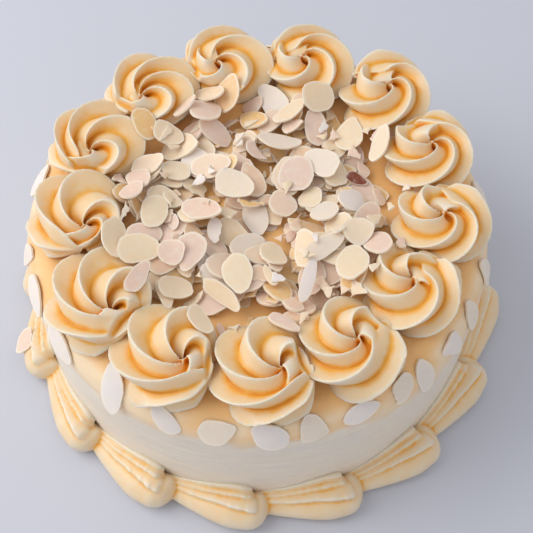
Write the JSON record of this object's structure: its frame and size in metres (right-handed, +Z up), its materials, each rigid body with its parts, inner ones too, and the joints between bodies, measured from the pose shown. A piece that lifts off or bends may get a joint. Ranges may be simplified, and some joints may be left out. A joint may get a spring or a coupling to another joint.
{
  "type": "cake",
  "caption": "Round frosted yema cake with a ring of piped buttercream rosettes on top, scattered sliced almonds, and a piped shell border round the base.",
  "frame": {"origin": "centre of the flat base, on the surface the cake stands on", "axes": "+Z up, the cake's turning axis; -Y faces the viewer of the picture"},
  "size_m": [0.2519, 0.2516, 0.1009],
  "materials": {
    "icing": "satin icing, yema layer over the top",
    "buttercream": "satin piped buttercream",
    "almond": "matt sliced almond"
  },
  "bodies": {
    "root": {"cake_body": "icing", "rosette_01": "buttercream", "rosette_02": "buttercream", "rosette_03": "buttercream", "rosette_04": "buttercream", "rosette_05": "buttercream", "rosette_06": "buttercream", "rosette_07": "buttercream", "rosette_08": "buttercream", "rosette_09": "buttercream", "rosette_10": "buttercream", "rosette_11": "buttercream", "rosette_12": "buttercream", "rosette_13": "buttercream", "shell_border": "buttercream", "almond_flakes": "almond"}
  },
  "joints": []
}
